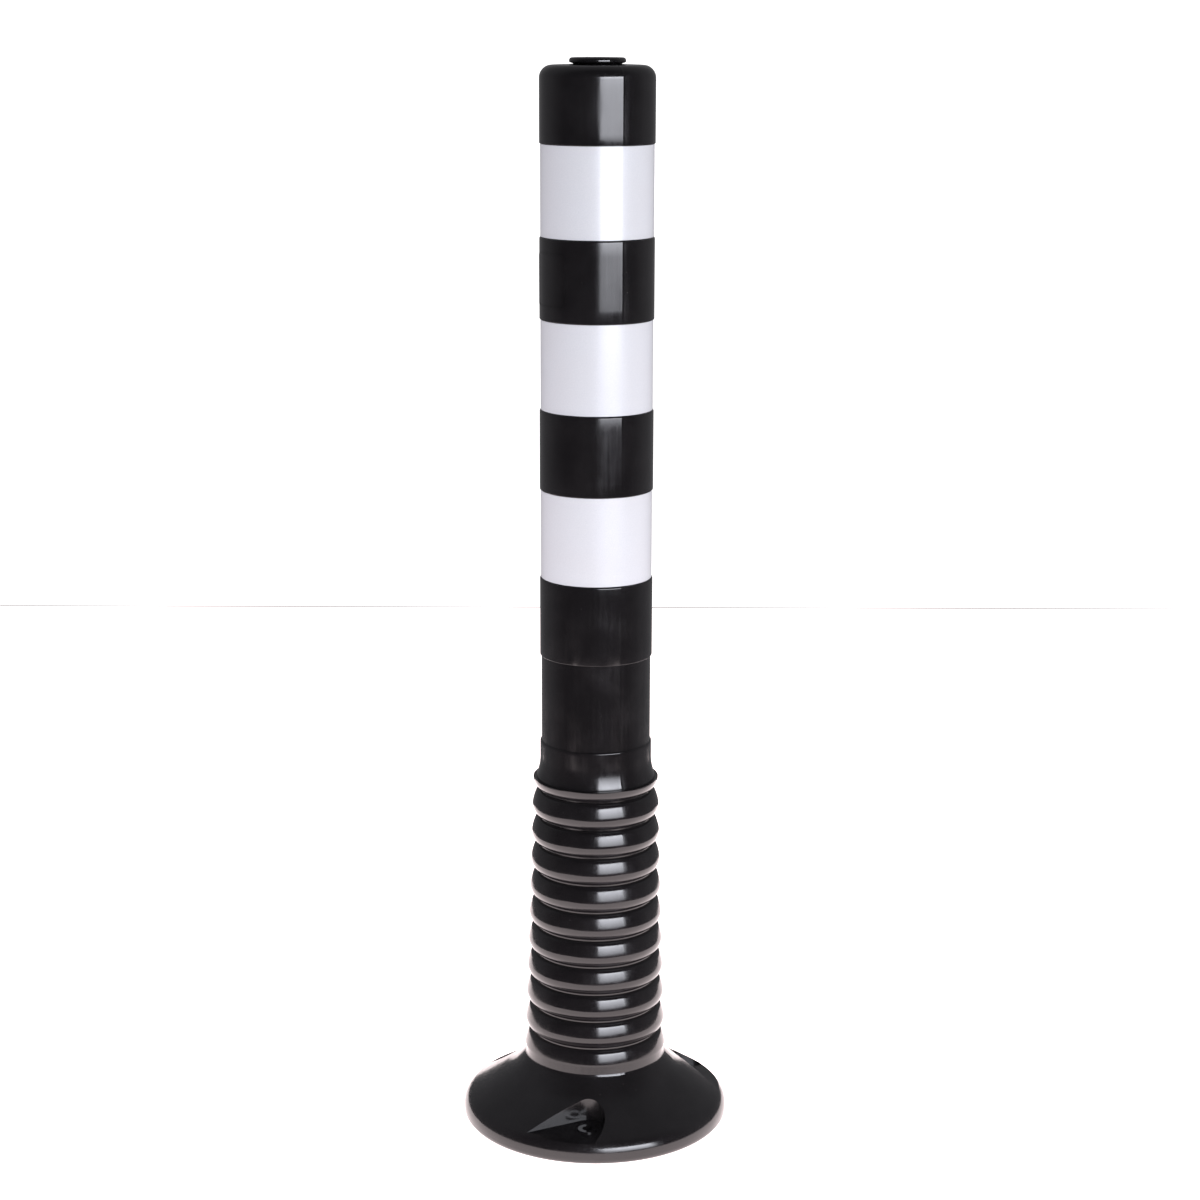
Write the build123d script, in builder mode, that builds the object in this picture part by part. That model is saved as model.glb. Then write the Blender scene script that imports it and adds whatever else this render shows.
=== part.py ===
"""Flexible delineator post: a hollow moulded post that stands on a wide foot and bends at a row of folds.

The origin is the middle of the foot's underside, +Z is up and -Y is the front. Every size is in millimetres.
The moulding is cut at its folds into stiff ribs and the soft folds between them, so that it can bend.
"""
from build123d import *
import math
import os

os.makedirs("parts", exist_ok=True)

# Overall sizes
total_height = 750.0
post_radius = 39.0
foot_radius = 95.0

# Walls of the hollow moulding
post_wall = 3.0
fold_wall = 2.4
foot_wall = 3.0

# Folding section: ribs with a leaning face and a round belly, and narrow flat roots between them
fold_count = 10
fold_pitch = 20.0
lowest_crest_height = 54.0
lowest_crest_proud = 9.2
top_crest_proud = 2.7
fold_depth = 5.0
crest_round = 6.8
face_lean = 17.0
face_length = 7.8
fold_edge_round = 2.3
ledge_lean = 84.0
belly_lean = 60.0
root_round = 0.9
stiff_half_height = 4.8
post_neck_round = 35.0

# Foot
neck_flare = 1.1
neck_height = 46.5
shoulder_run = 11.2
shoulder_height = 35.2
rim_height = 13.5
neck_round = 4.0
shoulder_round = 40.0
rim_round = 12.0
sole_round = 5.0

# Anchor pockets in the foot
pocket_count = 3
first_pocket_angle = -4.0
hole_to_rim = 21.4
pocket_round = 12.5
pocket_side_round = 28.6
pocket_sweep = 25.7
pocket_floor_height = 17.4
pocket_floor_slope = 7.5
boss_radius = 6.6
boss_height = 1.0
hole_radius = 3.5
column_radius = 8.0

# Recesses for the reflective films, evenly spaced between the folds and the cap
recess_count = 4
recess_height = 62.0
recess_depth = 1.0
plain_foot_land = 27.0
cap_side = 51.7
film_thickness = 0.3
film_edge_gap = 0.4

# Cap, knob and its stopper
cap_round = 8.5
cap_crown = 0.5
knob_height = 4.3
knob_radius = 19.0
knob_waist_radius = 16.2
knob_lip = 3.4
knob_round = 2.0
blow_hole_radius = 6.0
stopper_flange_radius = 9.0
stopper_flange_height = 1.5
stopper_length = 9.0
stopper_clearance = 0.05

# Places worked out from the sizes above
top_crest_height = lowest_crest_height + fold_count * fold_pitch
top_crest_radius = post_radius + top_crest_proud
lowest_recess_height = top_crest_height + plain_foot_land
knob_base_height = total_height - knob_height
last_recess_top = knob_base_height - cap_side
recess_step = (last_recess_top - recess_height - lowest_recess_height) / (recess_count - 1)
recess_radius = post_radius - recess_depth
neck_radius = post_radius + lowest_crest_proud + neck_flare
hole_circle_radius = foot_radius - hole_to_rim


def crest_height(i):
    return lowest_crest_height + i * fold_pitch


def crest_radius(i):
    taper = (lowest_crest_proud - top_crest_proud) * i / fold_count
    return post_radius + lowest_crest_proud - taper


def crest_centre(i):
    return Vector(crest_radius(i) - crest_round, crest_height(i))


def root_radius(i):
    """The radius of the root between crest i and crest i + 1."""
    return (crest_radius(i) + crest_radius(i + 1)) / 2 - fold_depth


def facing(angle):
    """The outward direction of a wall that faces angle degrees above straight out."""
    return Vector(math.cos(math.radians(angle)), math.sin(math.radians(angle)))


def crossing(a, a_angle, b, b_angle):
    """Where the straight wall through a, facing a_angle, meets the one through b, facing b_angle."""
    along = facing(a_angle + 90)
    reach = (b - a).dot(facing(b_angle)) / along.dot(facing(b_angle))
    return a + along * reach


def draw_fold_line(inset):
    """The outline of the folds, from the lowest crest to the top one, moved in by inset."""
    nose = crest_round - inset
    start = crest_centre(0) + Vector(nose, 0)
    for i in range(fold_count):
        low_centre, high_centre = crest_centre(i), crest_centre(i + 1)
        face_start = low_centre + facing(face_lean) * nose
        edge = low_centre + facing(face_lean) * crest_round + facing(face_lean + 90) * face_length
        ledge = edge - facing(ledge_lean) * inset
        root = Vector(root_radius(i) - inset, crest_height(i))
        belly = high_centre + facing(-belly_lean) * nose
        ThreePointArc(start, low_centre + facing(face_lean / 2) * nose, face_start)
        corners = [
            face_start,
            crossing(face_start, face_lean, ledge, ledge_lean),
            crossing(ledge, ledge_lean, root, 0),
            crossing(root, 0, belly, -belly_lean),
            belly,
        ]
        rounds = [max(fold_edge_round - inset, 0), root_round + inset, root_round + inset]
        FilletPolyline(*corners, radius=rounds)
        start = high_centre + Vector(nose, 0)
        ThreePointArc(belly, high_centre + facing(-belly_lean / 2) * nose, start)
    return start


def fold_wall_face():
    """The section of the whole folding wall, between its outer and inner lines."""
    lowest = Vector(crest_radius(0), crest_height(0))
    with BuildSketch(Plane.XZ) as section:
        with BuildLine():
            top_outer = draw_fold_line(0)
            top_inner = draw_fold_line(fold_wall)
            Line(lowest, lowest - Vector(fold_wall, 0))
            Line(top_outer, top_inner)
        make_face()
    return section.sketch_local


fold_face = fold_wall_face()


def add_fold_slice(low, high):
    """Inside a sketch on the XZ plane: the folding wall between two heights."""
    with BuildSketch(mode=Mode.PRIVATE) as fold_slice:
        add(fold_face)
        with Locations((0, (low + high) / 2)):
            Rectangle(4 * foot_radius, high - low, mode=Mode.INTERSECT)
    add(fold_slice.sketch)


def inset_corners(corners, gap):
    """The corners of an open outline whose material is on its right, moved in by gap."""
    rows = []
    for a, b in zip(corners, corners[1:]):
        along = (b - a).normalized()
        rows.append((a + Vector(along.Y, -along.X) * gap, along))
    moved = [Vector(rows[0][0].X, corners[0].Y)]
    for (a, u), (b, v) in zip(rows, rows[1:]):
        cross = u.X * v.Y - u.Y * v.X
        reach = ((b.X - a.X) * v.Y - (b.Y - a.Y) * v.X) / cross
        moved.append(a + u * reach)
    moved.append(Vector(corners[-1].X, rows[-1][0].Y))
    return moved


# Foot -----------------------------------------------------------------------------------
foot_corners = [
    Vector(crest_radius(0), crest_height(0)),
    Vector(neck_radius, neck_height),
    Vector(neck_radius + shoulder_run, shoulder_height),
    Vector(foot_radius, rim_height),
    Vector(foot_radius, 0),
    Vector(0, 0),
]
foot_rounds = [neck_round, shoulder_round, rim_round, sole_round]


def revolve_foot(corners, rounds):
    """A solid of revolution under a filleted outline that starts at the neck and ends on the axis."""
    top = Vector(0, corners[0].Y)
    with BuildPart() as turned:
        with BuildSketch(Plane.XZ):
            with BuildLine():
                FilletPolyline(*corners, radius=rounds)
                Line(corners[-1], top)
                Line(top, corners[0])
            make_face()
        revolve(axis=Axis.Z)
    return turned.part


def pocket_angle(i):
    return first_pocket_angle + i * 360 / pocket_count


def pocket_plane(i, depth=0):
    """The sloping floor of pocket i: x runs round the foot, y runs in towards the post."""
    angle = math.radians(pocket_angle(i))
    slope = math.radians(pocket_floor_slope)
    outward = Vector(math.sin(angle), -math.cos(angle), 0)
    around = Vector(math.cos(angle), math.sin(angle), 0)
    up = Vector(0, 0, 1) * math.cos(slope) + outward * math.sin(slope)
    middle = outward * hole_circle_radius + Vector(0, 0, pocket_floor_height - depth)
    return Plane(origin=middle, x_dir=around, z_dir=up)


def pocket_space(i, grow=0):
    """The space of pocket i, up past the foot's top: a round end and one straight side that runs out to a point."""
    radius = pocket_round + grow
    side_radius = pocket_side_round + grow
    sweep = math.radians(pocket_sweep)
    touch = Vector(-math.sin(sweep), math.cos(sweep)) * radius
    tail = touch - Vector(math.cos(sweep), math.sin(sweep)) * foot_radius * 0.8
    side_centre = Vector(radius - side_radius, 0)
    half, full = math.radians(32), math.radians(64)
    side_middle = side_centre + Vector(math.cos(half), -math.sin(half)) * side_radius
    side_end = side_centre + Vector(math.cos(full), -math.sin(full)) * side_radius
    round_middle = (touch.normalized() + Vector(1, 0)).normalized() * radius
    outside = -foot_radius
    with BuildPart() as space:
        with BuildSketch(pocket_plane(i, grow)):
            with BuildLine():
                Line(tail, touch)
                ThreePointArc(touch, round_middle, (radius, 0))
                ThreePointArc((radius, 0), side_middle, side_end)
                Polyline(side_end, (side_end.X, outside), (tail.X, outside), tail)
            make_face()
        extrude(amount=lowest_crest_height, dir=(0, 0, 1))
    return space.part


foot_outside = revolve_foot(foot_corners, foot_rounds)
inner_corners = inset_corners(foot_corners, foot_wall)
inner_rounds = [
    neck_round + foot_wall,
    shoulder_round + foot_wall,
    rim_round - foot_wall,
    sole_round - foot_wall,
]
foot_inside = revolve_foot(inner_corners, inner_rounds)
pocket_angles = [pocket_angle(i) for i in range(pocket_count)]
hole_places = [
    (hole_circle_radius * math.sin(math.radians(a)), -hole_circle_radius * math.cos(math.radians(a)))
    for a in pocket_angles
]

with BuildPart() as foot_hollow:
    add(foot_inside)
    for i in range(pocket_count):
        add(pocket_space(i, foot_wall), mode=Mode.SUBTRACT)
    with BuildSketch():
        with Locations(*hole_places):
            Circle(column_radius)
    extrude(amount=pocket_floor_height, mode=Mode.SUBTRACT)

with BuildPart() as base_foot:
    add(foot_outside)
    for i in range(pocket_count):
        add(pocket_space(i), mode=Mode.SUBTRACT)
    add(foot_hollow.part, mode=Mode.SUBTRACT)
    with BuildSketch():
        with Locations(*hole_places):
            Circle(boss_radius)
    extrude(amount=pocket_floor_height + boss_height)
    with BuildSketch():
        with Locations(*hole_places):
            Circle(hole_radius)
    extrude(amount=pocket_floor_height + 2 * boss_height, mode=Mode.SUBTRACT)
    with BuildSketch(Plane.XZ):
        add_fold_slice(crest_height(0), crest_height(0) + stiff_half_height)
    revolve(axis=Axis.Z)
base_foot.part.label = "base_foot"
export_step(base_foot.part, "parts/base_foot.step")


# Folds and ribs ---------------------------------------------------------------------------
def export_ring(label, low, high):
    with BuildPart() as ring:
        with BuildSketch(Plane.XZ):
            add_fold_slice(low, high)
        revolve(axis=Axis.Z)
    ring.part.label = label
    export_step(ring.part, f"parts/{label}.step")


for i in range(fold_count):
    fold_low = crest_height(i) + stiff_half_height
    fold_high = crest_height(i + 1) - stiff_half_height
    export_ring(f"fold_{i + 1:02d}", fold_low, fold_high)

for i in range(1, fold_count):
    rib_low = crest_height(i) - stiff_half_height
    rib_high = crest_height(i) + stiff_half_height
    export_ring(f"rib_{i:02d}", rib_low, rib_high)

# Post tube --------------------------------------------------------------------------------
neck_turn = math.acos(1 - top_crest_proud / (crest_round + post_neck_round))
neck_normal = Vector(math.cos(neck_turn), math.sin(neck_turn))
neck_start = crest_centre(fold_count) + neck_normal * crest_round
neck_centre = neck_start + neck_normal * post_neck_round
neck_end = neck_centre - Vector(post_neck_round, 0)
top_crest = Vector(top_crest_radius, top_crest_height)
top_crest_middle = (neck_normal + Vector(1, 0)).normalized() * crest_round
crown_corner = Vector(post_radius, knob_base_height - cap_crown)


def recess_bottom(i):
    return lowest_recess_height + i * recess_step


def outer_corners():
    """The tube's corners above the folds: four recesses, the cap and the knob."""
    corners = [neck_end]
    for i in range(recess_count):
        low, high = recess_bottom(i), recess_bottom(i) + recess_height
        corners += [Vector(post_radius, low), Vector(recess_radius, low)]
        corners += [Vector(recess_radius, high), Vector(post_radius, high)]
    corners += [crown_corner, Vector(knob_waist_radius, knob_base_height)]
    corners += [Vector(knob_radius, total_height - knob_lip), Vector(knob_radius, total_height)]
    return corners + [Vector(0, total_height)]


recess_rounds = [0] * 4 * recess_count
with BuildPart() as post_tube:
    with BuildSketch(Plane.XZ):
        with BuildLine():
            Line(Vector(0, top_crest_height), top_crest)
            ThreePointArc(top_crest, crest_centre(fold_count) + top_crest_middle, neck_start)
            neck_middle = neck_centre - (neck_normal + Vector(1, 0)).normalized() * post_neck_round
            ThreePointArc(neck_start, neck_middle, neck_end)
            tube_rounds = recess_rounds + [cap_round, 0, knob_round / 2, knob_round]
            FilletPolyline(*outer_corners(), radius=tube_rounds)
            Line((0, total_height), (0, top_crest_height))
        make_face()
    revolve(axis=Axis.Z)
    # The hollow runs up to the cap, and the blow hole goes on through the knob.
    with BuildSketch(Plane.XZ):
        with BuildLine():
            hollow_radius = post_radius - post_wall
            hollow_top = knob_base_height - cap_crown - post_wall
            throat = Vector(top_crest_radius - fold_wall, top_crest_height)
            hollow_corners = [
                throat,
                Vector(hollow_radius, neck_end.Y),
                Vector(hollow_radius, hollow_top),
                Vector(0, hollow_top),
            ]
            FilletPolyline(*hollow_corners, radius=[post_neck_round, cap_round - post_wall])
            Polyline((0, hollow_top), (0, top_crest_height), throat)
        make_face()
    revolve(axis=Axis.Z, mode=Mode.SUBTRACT)
    with BuildSketch(Plane.XY.offset(hollow_top - post_wall)):
        Circle(blow_hole_radius)
    extrude(amount=total_height, mode=Mode.SUBTRACT)
    with BuildSketch(Plane.XY.offset(total_height - stopper_flange_height)):
        Circle(stopper_flange_radius + stopper_clearance)
    extrude(amount=2 * stopper_flange_height, mode=Mode.SUBTRACT)
    with BuildSketch(Plane.XZ):
        add_fold_slice(top_crest_height - stiff_half_height, top_crest_height)
    revolve(axis=Axis.Z)
post_tube.part.label = "post_tube"
export_step(post_tube.part, "parts/post_tube.step")

# Reflective films: one in each recess but the lowest, which is left bare ---------------------
film_names = ["lower_film", "middle_film", "upper_film"]
for i, film_name in enumerate(film_names, start=1):
    film_height = recess_height - 2 * film_edge_gap
    with BuildPart() as film:
        with BuildSketch(Plane.XY.offset(recess_bottom(i) + film_edge_gap)):
            Circle(recess_radius + film_thickness)
            Circle(recess_radius, mode=Mode.SUBTRACT)
        extrude(amount=film_height)
    film.part.label = film_name
    export_step(film.part, f"parts/{film_name}.step")

# Stopper in the knob's blow hole ---------------------------------------------------------------
with BuildPart() as knob_stopper:
    with BuildSketch(Plane.XY.offset(total_height - stopper_flange_height)):
        Circle(stopper_flange_radius)
    extrude(amount=stopper_flange_height)
    with BuildSketch(Plane.XY.offset(total_height - stopper_length)):
        Circle(blow_hole_radius - stopper_clearance)
    extrude(amount=stopper_length)
knob_stopper.part.label = "knob_stopper"
export_step(knob_stopper.part, "parts/knob_stopper.step")
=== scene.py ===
# %% [markdown]
# # A flexible delineator post
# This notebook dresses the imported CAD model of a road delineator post: a hollow black moulding with a wide
# foot, a row of folds that lets it bend, three white reflective films and a knob on top. The CAD model is
# the frame. It fixes every size and every moving body, so each piece below is made in place, in metres,
# with +Z up and the front towards -Y. Nothing here moves a CAD part: a piece either stands in for one or
# rides on one.

# %% Load the frame
import math

import bmesh
import bpy
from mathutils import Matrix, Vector


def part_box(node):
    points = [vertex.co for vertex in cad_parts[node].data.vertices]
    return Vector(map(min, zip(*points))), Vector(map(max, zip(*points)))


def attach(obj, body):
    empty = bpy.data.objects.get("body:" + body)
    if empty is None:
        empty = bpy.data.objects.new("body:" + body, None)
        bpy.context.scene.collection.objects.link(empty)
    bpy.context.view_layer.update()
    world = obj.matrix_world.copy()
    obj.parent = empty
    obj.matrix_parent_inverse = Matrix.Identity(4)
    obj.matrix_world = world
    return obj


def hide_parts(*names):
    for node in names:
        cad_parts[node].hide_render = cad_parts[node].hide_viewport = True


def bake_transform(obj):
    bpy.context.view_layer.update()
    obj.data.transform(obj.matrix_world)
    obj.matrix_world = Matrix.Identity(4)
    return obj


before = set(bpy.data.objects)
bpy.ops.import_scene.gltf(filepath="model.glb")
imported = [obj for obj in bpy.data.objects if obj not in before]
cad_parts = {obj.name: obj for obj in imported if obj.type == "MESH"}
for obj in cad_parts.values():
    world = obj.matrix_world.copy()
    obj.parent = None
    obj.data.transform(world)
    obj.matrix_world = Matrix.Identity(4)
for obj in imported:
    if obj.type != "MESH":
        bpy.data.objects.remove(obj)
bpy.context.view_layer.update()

# %% [markdown]
# ## Sizes
# The heights and radii come from the boxes of the CAD nodes, so the pieces follow the CAD model if it
# changes. Only what a box can't say, such as a rounding or a wall, is a size of its own, in millimetres.

# %% Sizes from the frame
MM = 0.001
foot_low, foot_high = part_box("base_foot")
post_low, post_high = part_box("post_tube")
film_boxes = [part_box(name) for name in ("lower_film", "middle_film", "upper_film")]
rib_boxes = [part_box(f"rib_{i:02d}") for i in range(1, 10)]

foot_radius = min(foot_high.x, -foot_low.x, foot_high.y, -foot_low.y)
top_height = post_high.z
rib_heights = [(low.z + high.z) / 2 for low, high in rib_boxes]
rib_radii = [max(high.x, high.y, -low.x, -low.y) for low, high in rib_boxes]
fold_pitch = rib_heights[1] - rib_heights[0]
crest_heights = [rib_heights[0] - fold_pitch] + rib_heights + [rib_heights[-1] + fold_pitch]
taper = (rib_radii[-1] - rib_radii[0]) / (len(rib_radii) - 1)
crest_radii = [rib_radii[0] - taper] + rib_radii + [rib_radii[-1] + taper]
fold_count = len(crest_heights) - 1
post_radius = 39.0 * MM
recess_radius = 38.0 * MM
print(f"foot radius {foot_radius / MM:.1f} mm, height {top_height / MM:.1f} mm, folds {fold_count}")
print(f"crest radii {crest_radii[0] / MM:.1f} to {crest_radii[-1] / MM:.1f} mm")

# %% [markdown]
# ## Camera
# A product shot: a long lens, a little above the top of the post and looking down by 13 degrees, so that
# the rings of the folds open into ellipses and the foot shows its upper side.

# %% Camera
camera_data = bpy.data.cameras.new("camera")
camera_data.lens = 75.8
camera_data.sensor_width = 36.0
camera = bpy.data.objects.new("camera", camera_data)
bpy.context.scene.collection.objects.link(camera)
camera.location = (0.0015, -1.712, 0.778)
camera.rotation_euler = (math.radians(90 - 13.06), math.radians(-0.17), 0)
bpy.context.scene.camera = camera

# %% [markdown]
# ## Profiles
# The moulding is round, so almost every piece of it is a profile turned about the Z axis. A profile is a
# short list of corners with its round stretches as arcs. An arc is described the way a moulder would, by
# its centre, its radius and the slope of the surface: 0 degrees faces straight out, 90 degrees faces up.


# %% Profile helpers
def arc(centre, radius, start, end, steps):
    """Points along an arc in the (radius, height) plane, by the angle at which the surface faces."""
    angles = [math.radians(start + (end - start) * i / steps) for i in range(steps + 1)]
    return [centre + radius * Vector((math.cos(a), math.sin(a))) for a in angles]


def on_arc(centre, radius, angle):
    return centre + radius * Vector((math.cos(math.radians(angle)), math.sin(math.radians(angle))))


def spaced(a, b, steps):
    """Points between a and b, without either end."""
    return [a.lerp(b, i / steps) for i in range(1, steps)]


def inset(points, gap):
    """The same line moved inwards by gap: it runs along the inner side of a wall of even thickness."""
    moved = []
    for i, point in enumerate(points):
        along = points[min(i + 1, len(points) - 1)] - points[max(i - 1, 0)]
        normal = Vector((along.y, -along.x)).normalized()
        moved.append(point + normal * gap)
    return moved


# %% [markdown]
# ## Turning a profile
# Blender's spin operator turns a profile about an axis. A mould leaves a parting line: a fine ridge down
# both sides, where its two halves met. To have somewhere to raise it, the turn is made in parts, with two
# narrow steps beside each parting plane, and the points in that plane are pushed out by a tenth of a
# millimetre. The spin copies each point exactly, so the ends of the turn are merged and the shell closes.

# %% Turning helpers
PARTING_ANGLE = math.radians(-90 + 25.5)
PARTING_HALF = math.radians(0.45)
PARTING_HEIGHT = 0.10 * MM
SEGMENTS = 92


def turn(points, closed=True, parting=True, parting_line=None):
    """A bmesh of the profile turned once about Z, with the parting ridge on the points of parting_line."""
    bm = bmesh.new()
    start = PARTING_ANGLE
    verts = [bm.verts.new((p.x * math.cos(start), p.x * math.sin(start), p.y)) for p in points]
    edges = [bm.edges.new(pair) for pair in zip(verts, verts[1:])]
    if closed:
        edges.append(bm.edges.new((verts[-1], verts[0])))
    steps = [(PARTING_HALF, 1), (math.pi - 2 * PARTING_HALF, SEGMENTS), (2 * PARTING_HALF, 2)]
    steps += [(math.pi - 2 * PARTING_HALF, SEGMENTS), (PARTING_HALF, 1)]
    geometry = verts + edges
    for angle, count in steps:
        spun = bmesh.ops.spin(bm, geom=geometry, cent=(0, 0, 0), axis=(0, 0, 1), angle=angle, steps=count)
        geometry = spun["geom_last"]
    bmesh.ops.remove_doubles(bm, verts=bm.verts, dist=0.002 * MM)
    if parting:
        raise_parting(bm, parting_line or points)
    bmesh.ops.recalc_face_normals(bm, faces=bm.faces)
    return bm


def raise_parting(bm, line):
    """Pushes the points of the outer line that lie in the parting plane outwards."""
    push = {}
    for i, point in enumerate(line):
        along = line[min(i + 1, len(line) - 1)] - line[max(i - 1, 0)]
        normal = Vector((-along.y, along.x)).normalized()
        if i in (0, len(line) - 1):
            normal = Vector((math.copysign(1, normal.x), 0))
        push[(round(point.x * 1e6), round(point.y * 1e6))] = normal if normal.x > 0 else -normal
    for vert in bm.verts:
        angle = math.atan2(vert.co.y, vert.co.x)
        off = abs(math.remainder(angle - PARTING_ANGLE, math.pi))
        reach = math.hypot(vert.co.x, vert.co.y)
        normal = push.get((round(reach * 1e6), round(vert.co.z * 1e6)))
        if off < PARTING_HALF / 3 and normal is not None and reach > 1 * MM:
            outward = Vector((vert.co.x, vert.co.y, 0)).normalized() * normal.x
            vert.co += (outward + Vector((0, 0, normal.y))) * PARTING_HEIGHT


def finish_piece(name, bm, material, sharp=38.0):
    """Makes the bmesh an object, smooth but for edges sharper than the given angle."""
    mesh = bpy.data.meshes.new(name)
    for face in bm.faces:
        face.smooth = True
    for edge in bm.edges:
        if len(edge.link_faces) == 2 and edge.calc_face_angle(0) > math.radians(sharp):
            edge.smooth = False
    bm.to_mesh(mesh)
    bm.free()
    mesh.materials.append(material)
    piece = bpy.data.objects.new(name, mesh)
    bpy.context.scene.collection.objects.link(piece)
    return piece


# %% [markdown]
# ## Materials
# Colours are written as the sRGB hex values that a picture editor shows, and one function turns them to the
# linear values that the shader works in.


# %% Material helpers
def colour(hex_code, alpha=1.0):
    channels = [int(hex_code[i:i + 2], 16) / 255 for i in (1, 3, 5)]
    linear = [c / 12.92 if c <= 0.04045 else ((c + 0.055) / 1.055) ** 2.4 for c in channels]
    return (*linear, alpha)


def add_node(tree, kind, settings=None, links=None):
    """Adds a node, sets its properties and input values, and links its inputs from other nodes' outputs."""
    node = tree.nodes.new(kind)
    for key, value in (settings or {}).items():
        if hasattr(node, key):
            setattr(node, key, value)
        else:
            node.inputs[key].default_value = value
    for key, (source, output) in (links or {}).items():
        tree.links.new(source.outputs[output], node.inputs[key])
    return node


def new_material(name):
    material = bpy.data.materials.new(name)
    material.use_nodes = True
    tree = material.node_tree
    shader = tree.nodes["Principled BSDF"]
    place = add_node(tree, "ShaderNodeTexCoord")
    return material, tree, shader, place


# %% [markdown]
# ### Blow-moulded black polyethylene
# The body is polyethylene with carbon black, blown against a polished mould. That gives a deep black with a
# clear gloss. Three things keep it from looking like lacquer. The skin shrinks unevenly as it cools, so a
# reflection wavers over a few centimetres. Flow leaves faint upright streaks that are a little duller. And
# handling leaves smudges and specks of pale dust. The grain of the specks is drawn about twice its real
# size.

# %% Black polyethylene
black_plastic, tree, shader, place = new_material("blow_moulded_black_polyethylene")
shader.inputs["IOR"].default_value = 1.51
shader.inputs["Specular IOR Level"].default_value = 0.5
streak_map = add_node(tree, "ShaderNodeMapping", {"Scale": (1.0, 1.0, 0.05)}, {"Vector": (place, "Object")})
streaks = add_node(tree, "ShaderNodeTexNoise", {"Scale": 420.0, "Detail": 3.0, "Roughness": 0.6},
                   {"Vector": (streak_map, "Vector")})
smudges = add_node(tree, "ShaderNodeTexNoise", {"Scale": 38.0, "Detail": 5.0, "Roughness": 0.62},
                   {"Vector": (place, "Object")})
specks = add_node(tree, "ShaderNodeTexVoronoi", {"Scale": 240.0, "Randomness": 1.0},
                  {"Vector": (place, "Object")})
speck_mask = add_node(tree, "ShaderNodeMapRange",
                      {"From Min": 0.0, "From Max": 0.09, "To Min": 1.0, "To Max": 0.0},
                      {"Value": (specks, "Distance")})
speck_pick = add_node(tree, "ShaderNodeMapRange", {"From Min": 0.80, "From Max": 0.95},
                      {"Value": (specks, "Color")})
speck_amount = add_node(tree, "ShaderNodeMath", {"operation": "MULTIPLY"})
tree.links.new(speck_mask.outputs["Result"], speck_amount.inputs[0])
tree.links.new(speck_pick.outputs["Result"], speck_amount.inputs[1])
smudge_tone = add_node(tree, "ShaderNodeMapRange", {"From Min": 0.35, "From Max": 0.75},
                       {"Value": (smudges, "Fac")})
tone = add_node(tree, "ShaderNodeMix", {"data_type": "RGBA"}, {"Factor": (smudge_tone, "Result")})
tone.inputs["A"].default_value = colour("#161517")
tone.inputs["B"].default_value = colour("#1d1c1e")
dusty = add_node(tree, "ShaderNodeMix", {"data_type": "RGBA"}, {"Factor": (speck_amount, "Value")})
tree.links.new(tone.outputs["Result"], dusty.inputs["A"])
dusty.inputs["B"].default_value = colour("#54524f")
tree.links.new(dusty.outputs["Result"], shader.inputs["Base Color"])
streak_rough = add_node(tree, "ShaderNodeMapRange",
                        {"From Min": 0.3, "From Max": 0.75, "To Min": 0.10, "To Max": 0.20},
                        {"Value": (streaks, "Fac")})
smudge_rough = add_node(tree, "ShaderNodeMapRange",
                        {"From Min": 0.45, "From Max": 0.8, "To Min": 0.0, "To Max": 0.10},
                        {"Value": (smudges, "Fac")})
roughness = add_node(tree, "ShaderNodeMath", {"operation": "ADD"})
tree.links.new(streak_rough.outputs["Result"], roughness.inputs[0])
tree.links.new(smudge_rough.outputs["Result"], roughness.inputs[1])
tree.links.new(roughness.outputs["Value"], shader.inputs["Roughness"])
wave_map = add_node(tree, "ShaderNodeMapping", {"Scale": (1.0, 1.0, 0.45)}, {"Vector": (place, "Object")})
waviness = add_node(tree, "ShaderNodeTexNoise", {"Scale": 60.0, "Detail": 1.5, "Roughness": 0.4},
                    {"Vector": (wave_map, "Vector")})
wave_bump = add_node(tree, "ShaderNodeBump", {"Strength": 0.35, "Distance": 0.0006},
                     {"Height": (waviness, "Fac")})
speck_bump = add_node(tree, "ShaderNodeBump", {"Strength": 0.4, "Distance": 0.0001},
                      {"Height": (speck_amount, "Value"), "Normal": (wave_bump, "Normal")})
tree.links.new(speck_bump.outputs["Normal"], shader.inputs["Normal"])
print("material", black_plastic.name)

# %% [markdown]
# ### White reflective film
# Road films are glass beads in a clear resin under a smooth glossy skin, backed by white. In daylight that
# reads as a cool, slightly grey white with a soft clear sheen. The beads are far too fine to see, so they
# are drawn as a faint grain of about a third of a millimetre.

# %% Reflective film
film_material, tree, shader, place = new_material("beaded_reflective_film")
shader.inputs["IOR"].default_value = 1.5
shader.inputs["Roughness"].default_value = 0.34
shader.inputs["Coat Weight"].default_value = 0.6
shader.inputs["Coat Roughness"].default_value = 0.12
grain = add_node(tree, "ShaderNodeTexNoise", {"Scale": 1500.0, "Detail": 1.0}, {"Vector": (place, "Object")})
cloud = add_node(tree, "ShaderNodeTexNoise", {"Scale": 26.0, "Detail": 3.0, "Roughness": 0.55},
                 {"Vector": (place, "Object")})
grain_tone = add_node(tree, "ShaderNodeMix", {"data_type": "RGBA"}, {"Factor": (grain, "Fac")})
grain_tone.inputs["A"].default_value = colour("#d3d9e2")
grain_tone.inputs["B"].default_value = colour("#e3e7ee")
cloud_fade = add_node(tree, "ShaderNodeMapRange",
                      {"From Min": 0.3, "From Max": 0.8, "To Min": 0.0, "To Max": 0.35},
                      {"Value": (cloud, "Fac")})
film_tone = add_node(tree, "ShaderNodeMix", {"data_type": "RGBA"}, {"Factor": (cloud_fade, "Result")})
tree.links.new(grain_tone.outputs["Result"], film_tone.inputs["A"])
film_tone.inputs["B"].default_value = colour("#d9dbe0")
tree.links.new(film_tone.outputs["Result"], shader.inputs["Base Color"])
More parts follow.
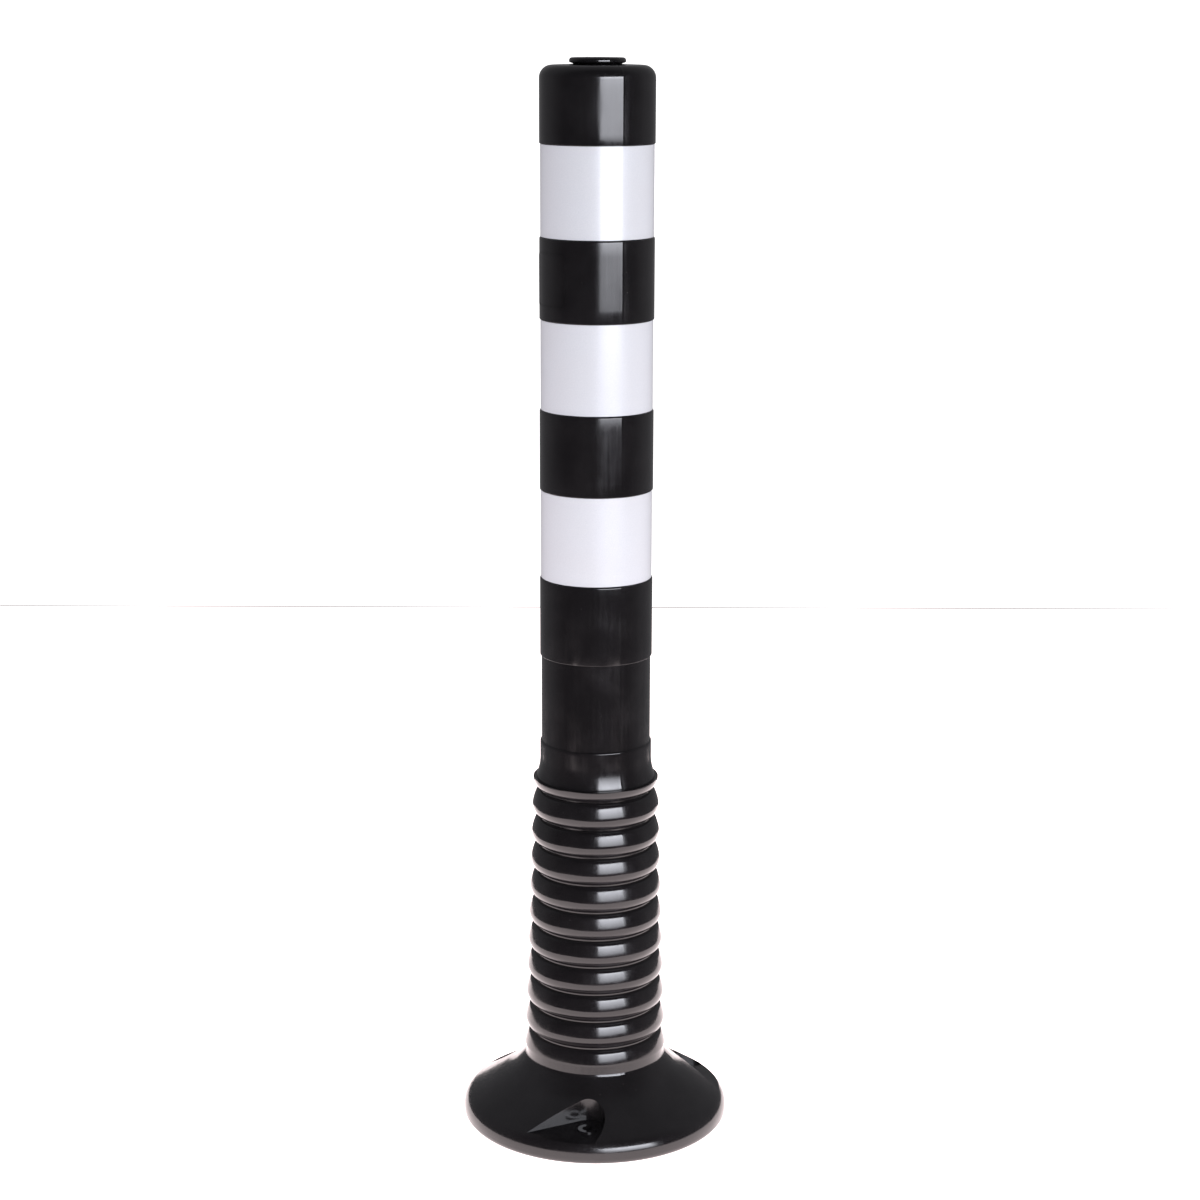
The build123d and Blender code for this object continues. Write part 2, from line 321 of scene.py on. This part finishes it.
film_bump = add_node(tree, "ShaderNodeBump", {"Strength": 0.12, "Distance": 0.00005},
                     {"Height": (grain, "Fac")})
tree.links.new(film_bump.outputs["Normal"], shader.inputs["Normal"])
print("material", film_material.name)

# %% [markdown]
# ### Satin polyethylene of the stopper
# The stopper is injection moulded from softer polyethylene against a spark-eroded tool, so it is black too
# but satin, with an even fine grain.

# %% Stopper plastic
stopper_material, tree, shader, place = new_material("satin_black_polyethylene")
shader.inputs["Base Color"].default_value = colour("#1a1a1b")
shader.inputs["IOR"].default_value = 1.51
erosion = add_node(tree, "ShaderNodeTexNoise", {"Scale": 2200.0, "Detail": 2.0},
                   {"Vector": (place, "Object")})
erosion_rough = add_node(tree, "ShaderNodeMapRange", {"To Min": 0.42, "To Max": 0.58},
                         {"Value": (erosion, "Fac")})
tree.links.new(erosion_rough.outputs["Result"], shader.inputs["Roughness"])
erosion_bump = add_node(tree, "ShaderNodeBump", {"Strength": 0.25, "Distance": 0.00005},
                        {"Height": (erosion, "Fac")})
tree.links.new(erosion_bump.outputs["Normal"], shader.inputs["Normal"])
print("material", stopper_material.name)

# %% [markdown]
# ## The folds
# Each fold is a ring with a nearly flat face that leans back, a tight upper edge and a round belly. Between
# two rings the root is a narrow flat band. When the post bends, a ring stays round and the walls beside it
# flex. So each ring is cut at its crest and in its roots, and each of those walls is a piece of its own.
# A short first step at each cut keeps the shading level across it.

# %% Fold sizes
NOSE_ROUND = 6.8 * MM
NOSE_TOP = 11.0
FACE_ROUND = 34.0 * MM
FACE_TOP = 22.0
EDGE_ROUND = 2.3 * MM
LEDGE = 84.0
BELLY = -60.0
ROOT_ROUND = 0.9 * MM
FOLD_DEPTH = 5.0 * MM
FOLD_WALL = 2.2 * MM
BLEND_MARGIN = 0.4 * MM
ROOT_ABOVE_CREST = 11.7 * MM
CUT_STEP = 0.5


def root_fillet(root_radius, touch, facing):
    """The middle of the root fillet that touches the wall through touch, which faces by facing degrees."""
    normal = on_arc(Vector((0, 0)), 1, facing)
    across = root_radius + ROOT_ROUND
    return Vector((across, (touch.dot(normal) + ROOT_ROUND - across * normal.x) / normal.y))


def upper_wall(crest, root, root_radius):
    """From a crest up to the root above it: nose, leaning face, tight edge, ledge and half of the root."""
    nose = crest - Vector((NOSE_ROUND, 0))
    line = [crest, on_arc(nose, NOSE_ROUND, CUT_STEP)] + arc(nose, NOSE_ROUND, 2, NOSE_TOP, 3)
    face_middle = line[-1] - on_arc(Vector((0, 0)), FACE_ROUND, NOSE_TOP)
    line += arc(face_middle, FACE_ROUND, NOSE_TOP, FACE_TOP, 8)[1:]
    edge_middle = line[-1] - on_arc(Vector((0, 0)), EDGE_ROUND, FACE_TOP)
    line += arc(edge_middle, EDGE_ROUND, FACE_TOP, LEDGE, 8)[1:]
    fillet = arc(root_fillet(root_radius, line[-1], LEDGE), -ROOT_ROUND, LEDGE, 0, 6)
    return line + spaced(line[-1], fillet[0], 2) + fillet + spaced(fillet[-1], root, 2) + [root]


def lower_wall(root, crest, root_radius):
    """From a root up to the crest above it: half of the root, the belly's flank and its round."""
    nose = crest - Vector((NOSE_ROUND, 0))
    belly = arc(nose, NOSE_ROUND, BELLY, -2, 13) + [on_arc(nose, NOSE_ROUND, -CUT_STEP), crest]
    fillet = arc(root_fillet(root_radius, belly[0], BELLY), -ROOT_ROUND, 0, BELLY, 5)
    return [root] + spaced(root, fillet[0], 2) + fillet + spaced(fillet[-1], belly[0], 2) + belly


# %% Make the folds
bodies = ["foot"] + [f"rib_{i:02d}" for i in range(1, fold_count)] + ["post"]
fold_pieces = []
for i in range(fold_count):
    low_crest = Vector((crest_radii[i], crest_heights[i]))
    high_crest = Vector((crest_radii[i + 1], crest_heights[i + 1]))
    root_radius = (low_crest.x + high_crest.x) / 2 - FOLD_DEPTH
    root = Vector((root_radius, low_crest.y + ROOT_ABOVE_CREST))
    fold = f"fold_{i + 1:02d}"
    low_wall = upper_wall(low_crest, root, root_radius)
    high_wall = lower_wall(root, high_crest, root_radius)
    walls = [
        (f"{fold}_lower_wall", low_wall, bodies[i], fold, [fold]),
        (f"{fold}_upper_wall", high_wall, fold, bodies[i + 1], []),
    ]
    if bodies[i + 1] != "post":
        walls[1][4].append(bodies[i + 1])
    for name, outer, low_body, high_body, nodes in walls:
        inner = inset(outer, FOLD_WALL)
        inner[0].y, inner[-1].y = outer[0].y, outer[-1].y
        bm = turn(outer + inner[::-1], parting_line=outer)
        piece = finish_piece(name, bm, black_plastic)
        start, end = (0, 0, outer[0].y + BLEND_MARGIN), (0, 0, outer[-1].y - BLEND_MARGIN)
        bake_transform(piece)
        if nodes:
            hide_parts(*nodes)
        fold_pieces.append(piece)
print("fold walls", len(fold_pieces), "triangles", sum(len(p.data.polygons) * 2 for p in fold_pieces))

# %% [markdown]
# ## The post
# Above the folds the moulding runs up as a plain tube with four shallow recesses, a rounded cap and a knob.
# A recess keeps the film's edges from being scraped off by a wheel. The band of tube above each recess ends
# in a crisp step, while the band below it starts with a soft rounded edge. The whole outline, outside and
# inside, is one closed line that never reaches the axis, because the blow hole runs down through the knob.

# %% Post sizes
TOP_EDGE_ROUND = 1.1 * MM
LOW_EDGE_ROUND = 0.3 * MM
POST_WALL = 3.0 * MM
CAP_ROUND = 8.5 * MM
CAP_CROWN = 0.5 * MM
KNOB_HEIGHT = 4.3 * MM
KNOB_RADIUS = 19.0 * MM
KNOB_WAIST = 16.2 * MM
KNOB_LIP = 3.4 * MM
KNOB_ROUND = 2.0 * MM
BLOW_HOLE_RADIUS = 6.0 * MM
STOPPER_RADIUS = 9.0 * MM
STOPPER_HEIGHT = 1.5 * MM
NECK_ROUND = 35.0 * MM
FILM_GAP = 0.4 * MM

film_lows = [low.z - FILM_GAP for low, high in film_boxes]
recess_height = film_boxes[0][1].z - film_boxes[0][0].z + 2 * FILM_GAP
recess_step = film_lows[1] - film_lows[0]
recess_lows = [film_lows[0] - recess_step] + film_lows
knob_base = top_height - KNOB_HEIGHT


def neck_line():
    """From the top crest up over its nose and in along a long hollow flare to the tube."""
    crest = Vector((crest_radii[-1], crest_heights[-1]))
    nose = crest - Vector((NOSE_ROUND, 0))
    turn_to = math.degrees(math.acos(1 - (crest.x - post_radius) / (NOSE_ROUND + NECK_ROUND)))
    line = [crest, on_arc(nose, NOSE_ROUND, CUT_STEP)] + arc(nose, NOSE_ROUND, 2, turn_to, 5)
    hollow = line[-1] + on_arc(Vector((0, 0)), NECK_ROUND, turn_to)
    return line + arc(hollow, -NECK_ROUND, turn_to, 0, 12)[1:]


def recess_line(low):
    """One recess: the soft edge of the band below it, its flat floor and the crisp edge above it."""
    high = low + recess_height
    soft_centre = Vector((post_radius - TOP_EDGE_ROUND, low - TOP_EDGE_ROUND))
    soft = arc(soft_centre, TOP_EDGE_ROUND, 0, 84, 6)
    crisp = arc(Vector((post_radius - LOW_EDGE_ROUND, high + LOW_EDGE_ROUND)), LOW_EDGE_ROUND, -88, 0, 4)
    floor = [Vector((recess_radius, low)), Vector((recess_radius, high))]
    return soft + [floor[0]] + spaced(*floor, 8) + [floor[1]] + crisp


def crown_line():
    """The cap's rounded shoulder and crown, the knob's waist and lip, and its flat top."""
    corner = Vector((post_radius - CAP_ROUND, knob_base - CAP_CROWN - CAP_ROUND))
    slope = math.degrees(math.atan2(CAP_CROWN, corner.x - KNOB_WAIST))
    shoulder = arc(corner, CAP_ROUND, 0, 90 - slope, 14)
    waist = Vector((KNOB_WAIST, knob_base))
    lip = Vector((KNOB_RADIUS - KNOB_ROUND / 2, top_height - KNOB_LIP + KNOB_ROUND / 2))
    top = Vector((KNOB_RADIUS - KNOB_ROUND, top_height - KNOB_ROUND))
    line = shoulder + spaced(shoulder[-1], waist, 6)
    line += [waist + Vector((0.5, 0)) * MM, waist + Vector((0, 0.3)) * MM]
    line += arc(lip, KNOB_ROUND / 2, -50, 0, 4) + arc(top, KNOB_ROUND, 0, 90, 7)
    seat = STOPPER_RADIUS + 0.05 * MM
    edge = [Vector((seat + 0.3 * MM, top_height)), Vector((seat, top_height - 0.3 * MM))]
    return line + edge + [Vector((seat, top_height - STOPPER_HEIGHT))]


# %% Make the post
outer = neck_line()
for low in recess_lows:
    start = Vector((post_radius, low - TOP_EDGE_ROUND))
    outer += spaced(outer[-1], start, 6) + recess_line(low)
crown = crown_line()
outer += spaced(outer[-1], crown[0], 6) + crown
hollow_top = knob_base - CAP_CROWN - POST_WALL
hollow_radius = post_radius - POST_WALL
inner = [
    Vector((BLOW_HOLE_RADIUS, top_height - STOPPER_HEIGHT)),
    Vector((BLOW_HOLE_RADIUS, hollow_top)),
]
inner += arc(Vector((hollow_radius - 4 * MM, hollow_top - 4 * MM)), 4 * MM, 90, 0, 6)
inner += [Vector((hollow_radius, crest_heights[-1] + 15 * MM))]
inner += [Vector((crest_radii[-1] - FOLD_WALL, crest_heights[-1]))]
bm = turn(outer + inner, parting_line=outer)
post = finish_piece("post_moulding", bm, black_plastic)
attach(post, "post")
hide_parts("post_tube")
print("post", len(post.data.polygons), "faces")

# %% [markdown]
# ### Blank badge frame
# The mould has a small raised frame on the left of the upper band, where a maker can put a mark. It is left
# blank. It starts flat, as an inset rectangle with rounded corners. It is then cut into narrow upright
# strips, so that it can curve, and wrapped round the tube.

# %% Badge frame
BADGE_WIDTH = 34.0 * MM
BADGE_HEIGHT = 36.0 * MM
BADGE_LINE = 0.9 * MM
BADGE_RAISE = 0.35 * MM
BADGE_SINK = 0.3 * MM
BADGE_ROUND = 3 * MM
BADGE_CUTS = 24
badge_angle = math.radians(-90 - 58)
badge_middle = (recess_lows[2] + recess_height + recess_lows[3]) / 2
bm = bmesh.new()
signs = ((-1, -1), (1, -1), (1, 1), (-1, 1))
corners = [bm.verts.new((x * BADGE_WIDTH / 2, 0, z * BADGE_HEIGHT / 2)) for x, z in signs]
bm.faces.new(corners)
bmesh.ops.bevel(bm, geom=corners, offset=BADGE_ROUND, affect="VERTICES", segments=6, profile=0.5,
                material=-1)
border = bmesh.ops.inset_region(bm, faces=bm.faces[:], thickness=BADGE_LINE, use_even_offset=True,
                                use_boundary=True)
inner_faces = [f for f in bm.faces if f not in border["faces"]]
bmesh.ops.delete(bm, geom=inner_faces, context="FACES")
across = Vector((1, 0, 0))
for i in range(1, BADGE_CUTS):
    cut = -BADGE_WIDTH / 2 + BADGE_WIDTH * i / BADGE_CUTS
    geometry = bm.verts[:] + bm.edges[:] + bm.faces[:]
    bmesh.ops.bisect_plane(bm, geom=geometry, plane_co=across * cut, plane_no=across)
raised = bmesh.ops.extrude_face_region(bm, geom=bm.faces[:])
moved = [g for g in raised["geom"] if isinstance(g, bmesh.types.BMVert)]
bmesh.ops.translate(bm, verts=moved, vec=(0, -1 * MM, 0))
for vert in bm.verts:
    lift = BADGE_RAISE if vert.co.y < -0.5 * MM else -BADGE_SINK
    angle = badge_angle + vert.co.x / post_radius
    reach = post_radius + lift
    vert.co = Vector((reach * math.cos(angle), reach * math.sin(angle), badge_middle + vert.co.z))
bmesh.ops.recalc_face_normals(bm, faces=bm.faces)
badge = finish_piece("badge_frame", bm, black_plastic)
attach(badge, "post")
print("badge frame", len(badge.data.polygons), "faces")

# %% [markdown]
# ### Films
# Each film is one strip wrapped once round its recess. Its end laps over its start by a few millimetres at
# the back, and its edges are cut square.

# %% Make the films
FILM_THICKNESS = 0.3 * MM
FILM_EDGE = 0.08 * MM
LAP_WIDTH = 8.0 * MM
LAP_RAISE = 0.28 * MM
LAP_SINK = 0.05 * MM
lap_angle = math.radians(90 - 25)
for name, (low, high) in zip(("lower_film", "middle_film", "upper_film"), film_boxes):
    film_radius = recess_radius + FILM_THICKNESS
    outer = [Vector((film_radius - FILM_EDGE, low.z)), Vector((film_radius, low.z + FILM_EDGE))]
    outer += spaced(Vector((outer[-1].x, low.z)), Vector((outer[-1].x, high.z)), 8)
    outer += [Vector((outer[-1].x, high.z - FILM_EDGE)), Vector((outer[-1].x - FILM_EDGE, high.z))]
    inner = [Vector((recess_radius, high.z)), Vector((recess_radius, low.z))]
    bm = turn(outer + inner, parting=False)
    lap_low = Vector((recess_radius + FILM_THICKNESS - LAP_SINK, low.z))
    lap = [lap_low, lap_low + Vector((LAP_RAISE, 0))]
    lap += [Vector((lap_low.x + LAP_RAISE, high.z)), Vector((lap_low.x, high.z))]
    verts = [bm.verts.new((p.x * math.cos(lap_angle), p.x * math.sin(lap_angle), p.y)) for p in lap]
    start_face = bm.faces.new(verts)
    bmesh.ops.spin(bm, geom=[start_face] + verts + list(start_face.edges), cent=(0, 0, 0), axis=(0, 0, 1),
                   angle=LAP_WIDTH / recess_radius, steps=10)
    bmesh.ops.recalc_face_normals(bm, faces=bm.faces)
    film = finish_piece(f"{name}_strip", bm, film_material)
    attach(film, "post")
    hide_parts(name)
    print(film.name, len(film.data.polygons), "faces")

# %% [markdown]
# ### Stopper
# A push-in stopper closes the blow hole. It has a thin flange that lies flush in the knob, a shallow dish
# in its top, and a tapered shank with one gripping ring.

# %% Make the stopper
stopper_low, stopper_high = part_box("knob_stopper")
shank = BLOW_HOLE_RADIUS - 0.05 * MM
top = stopper_high.z
line = [
    Vector((0, top - 0.5 * MM)), Vector((4.5 * MM, top - 0.5 * MM)), Vector((5.2 * MM, top - 0.05 * MM)),
    Vector((5.5 * MM, top)), Vector((STOPPER_RADIUS - 0.4 * MM, top)),
    Vector((STOPPER_RADIUS, top - 0.4 * MM)), Vector((STOPPER_RADIUS, top - STOPPER_HEIGHT)),
    Vector((shank - 0.3 * MM, top - STOPPER_HEIGHT)),
    Vector((shank - 0.3 * MM, top - 5 * MM)), Vector((shank, top - 5.6 * MM)),
    Vector((shank - 0.5 * MM, top - 6.4 * MM)),
    Vector((shank - 1.2 * MM, stopper_low.z)), Vector((0, stopper_low.z)),
]
bm = turn(line, closed=False, parting=False)
corners = [edge for edge in bm.edges if edge.calc_face_angle(0) > math.radians(40)]
bmesh.ops.bevel(bm, geom=corners, offset=0.15 * MM, affect="EDGES", segments=2, profile=0.5, material=-1)
stopper = finish_piece("blow_hole_stopper", bm, stopper_material)
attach(stopper, "post")
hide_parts("knob_stopper")
print("stopper", len(stopper.data.polygons), "faces")

# %% [markdown]
# ## The foot
# The foot is a hollow cone with a rounded rim and three anchor pockets cut into it. It could be turned like
# the rest, with the pockets cut in afterwards. The CAD foot already has that shape, so it stays, and only
# takes the black plastic.

# %% Foot material
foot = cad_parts["base_foot"]
foot.data.materials.clear()
foot.data.materials.append(black_plastic)
print("foot", len(foot.data.polygons), "faces")

# %% [markdown]
# ## Stage and light
# A white table, floor and back wall, all brighter than the exposure can hold, as in a catalogue shot. Black
# gloss shows whatever it reflects, so a photographer decides that apart from the light that falls on the
# white films. Here too: the wall is hidden from reflections, the softbox is seen in reflections but lights
# nothing else, and only the table near the foot shows in the gloss. The soft light for the films is the
# world and one fill, which the gloss doesn't show.


# %% Stage
def stage_plane(name, corners, tint, brightness):
    """A flat glowing piece of the set."""
    bm = bmesh.new()
    bm.faces.new([bm.verts.new(corner) for corner in corners])
    mesh = bpy.data.meshes.new(name)
    bm.to_mesh(mesh)
    bm.free()
    material = bpy.data.materials.new(name + "_paint")
    material.use_nodes = True
    tree = material.node_tree
    shader = tree.nodes["Principled BSDF"]
    shader.inputs["Base Color"].default_value = colour("#808080")
    shader.inputs["Roughness"].default_value = 1.0
    shader.inputs["Specular IOR Level"].default_value = 0.0
    shader.inputs["Emission Color"].default_value = colour(tint)
    shader.inputs["Emission Strength"].default_value = brightness
    mesh.materials.append(material)
    plane = bpy.data.objects.new(name, mesh)
    bpy.context.scene.collection.objects.link(plane)
    return plane


table_corners = [(-0.6, -0.6, 0), (0.6, -0.6, 0), (0.6, 0.7, 0), (-0.6, 0.7, 0)]
table = stage_plane("table", table_corners, "#fff0f0", 2.6)
floor_corners = [(-1.3, -0.6, -0.001), (1.3, -0.6, -0.001), (1.3, 1.6, -0.001), (-1.3, 1.6, -0.001)]
floor = stage_plane("floor", floor_corners, "#fff0f0", 1.7)
floor.visible_glossy = False
wall_corners = [(-1.3, 1.6, 0), (1.3, 1.6, 0), (1.3, 1.6, 2.4), (-1.3, 1.6, 2.4)]
wall = stage_plane("back_wall", wall_corners, "#ffffff", 1.1)
wall.visible_glossy = False
print("stage", table.name, floor.name, wall.name)

# %% [markdown]
# The softbox hangs three metres away, to the right of the camera. It is brighter towards its top, so the
# glow is a gradient over its height. It stands as a real panel would, upright and square to the post.

# %% Softbox
SOFTBOX_DISTANCE = 3.0
SOFTBOX_LOW, SOFTBOX_HIGH = 0.24, 1.62
softbox_left, softbox_right = math.radians(-90 + 5.5), math.radians(-90 + 52)
softbox_corners = []
for angle, height in ((softbox_left, SOFTBOX_LOW), (softbox_right, SOFTBOX_LOW),
                      (softbox_right, SOFTBOX_HIGH), (softbox_left, SOFTBOX_HIGH)):
    softbox_corners.append((SOFTBOX_DISTANCE * math.cos(angle), SOFTBOX_DISTANCE * math.sin(angle), height))
softbox = stage_plane("key_softbox", softbox_corners, "#f4f6ff", 1.0)
softbox.visible_diffuse = False
tree = softbox.data.materials[0].node_tree
place = add_node(tree, "ShaderNodeTexCoord")
height = add_node(tree, "ShaderNodeSeparateXYZ", links={"Vector": (place, "Object")})
glow = add_node(tree, "ShaderNodeMapRange",
                {"From Min": SOFTBOX_LOW, "From Max": SOFTBOX_HIGH, "To Min": 4.5, "To Max": 20.0},
                {"Value": (height, "Z")})
tree.links.new(glow.outputs["Result"], tree.nodes["Principled BSDF"].inputs["Emission Strength"])

# %% [markdown]
# The world is a dim room to anything that reflects it, a little lighter at the sides and behind, and an
# even soft light to everything matt.

# %% World and fill
world = bpy.data.worlds.new("studio")
world.use_nodes = True
tree = world.node_tree
place = add_node(tree, "ShaderNodeTexCoord")
direction = add_node(tree, "ShaderNodeSeparateXYZ", links={"Vector": (place, "Generated")})
behind = add_node(tree, "ShaderNodeMapRange",
                  {"From Min": -0.35, "From Max": 0.25, "To Min": 0.015, "To Max": 0.20},
                  {"Value": (direction, "Y")})
ray = add_node(tree, "ShaderNodeLightPath")
strength = add_node(tree, "ShaderNodeMix", {"data_type": "FLOAT"}, {"Factor": (ray, "Is Diffuse Ray")})
tree.links.new(behind.outputs["Result"], strength.inputs["A"])
strength.inputs["B"].default_value = 0.56
background = tree.nodes["Background"]
background.inputs["Color"].default_value = colour("#fbfaff")
tree.links.new(strength.outputs["Result"], background.inputs["Strength"])
bpy.context.scene.world = world

fill_light = bpy.data.lights.new("film_fill", "AREA")
fill_light.shape = "RECTANGLE"
fill_light.size, fill_light.size_y = 1.2, 1.2
fill_light.energy = 16.0
fill = bpy.data.objects.new("film_fill", fill_light)
fill.location = (0.95, -1.75, 1.0)
fill.rotation_euler = (Vector((0, 0, 0.5)) - fill.location).to_track_quat("-Z", "Y").to_euler()
fill.visible_glossy = False
bpy.context.scene.collection.objects.link(fill)
bpy.context.scene.view_settings.view_transform = "Standard"
